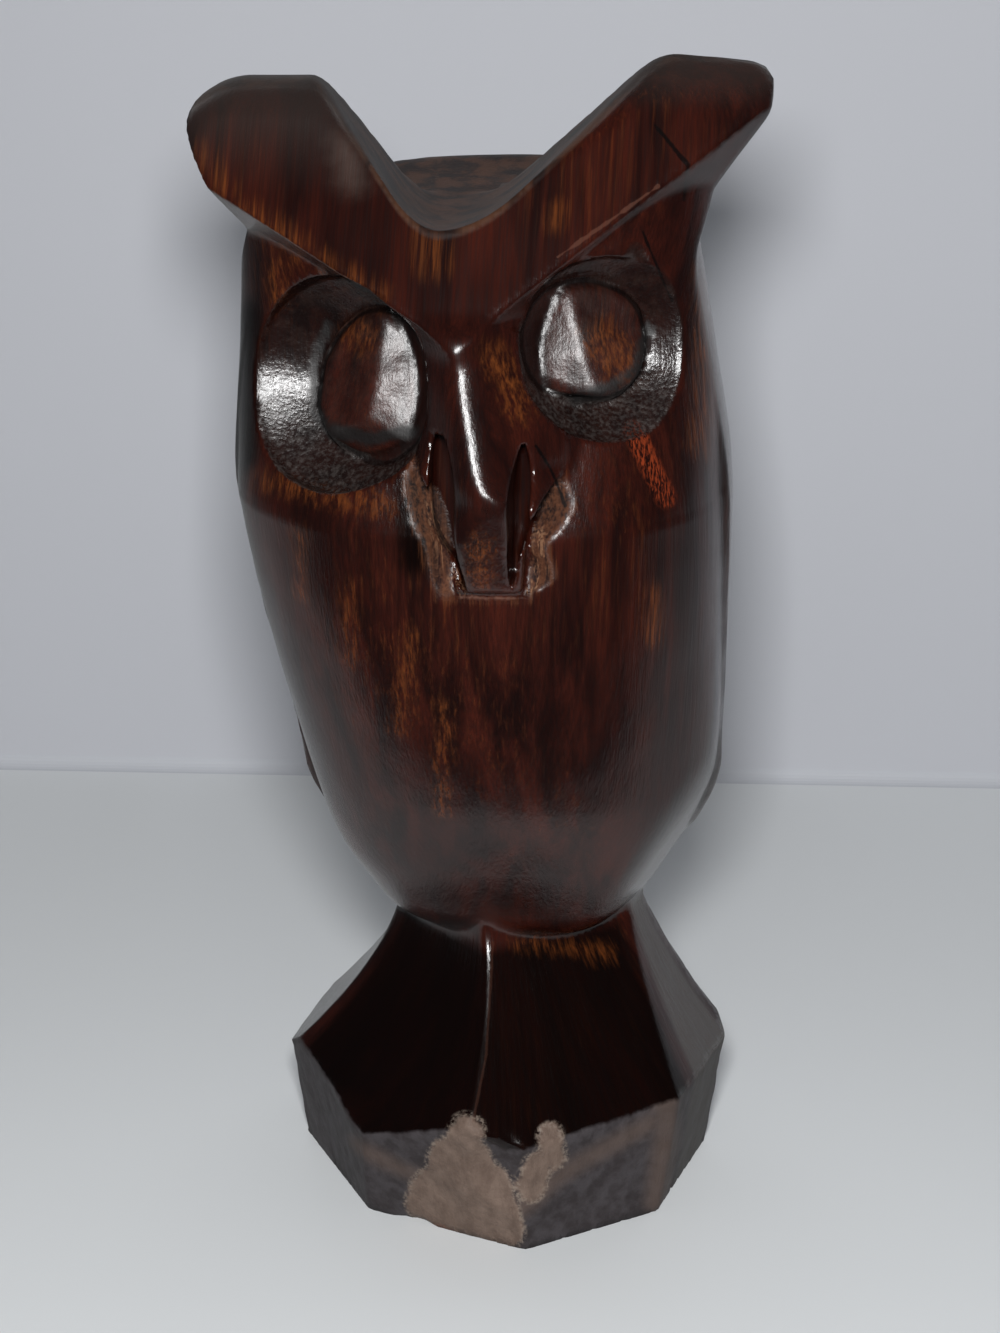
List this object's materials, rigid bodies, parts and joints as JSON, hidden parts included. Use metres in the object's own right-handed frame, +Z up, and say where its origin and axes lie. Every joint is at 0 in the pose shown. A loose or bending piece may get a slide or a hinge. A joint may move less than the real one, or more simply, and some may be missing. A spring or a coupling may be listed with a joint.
{
  "type": "carved wooden owl sculpture",
  "caption": "Stylised horned owl on a rocky faceted foot, hand carved from one block of dark polished wood, for a shelf or table.",
  "frame": {"origin": "middle of the overall width and depth, at the flat underside of the foot", "axes": "+Z up, the owl looks along -Y, its own left side is at +X"},
  "size_m": [0.0778, 0.0698, 0.1652],
  "materials": {
    "ironwood": "hand-rubbed high polish, rough on the sides of the foot and in the cuts of the eyes and beak"
  },
  "bodies": {
    "root": {"carved_owl": "ironwood"}
  },
  "joints": []
}
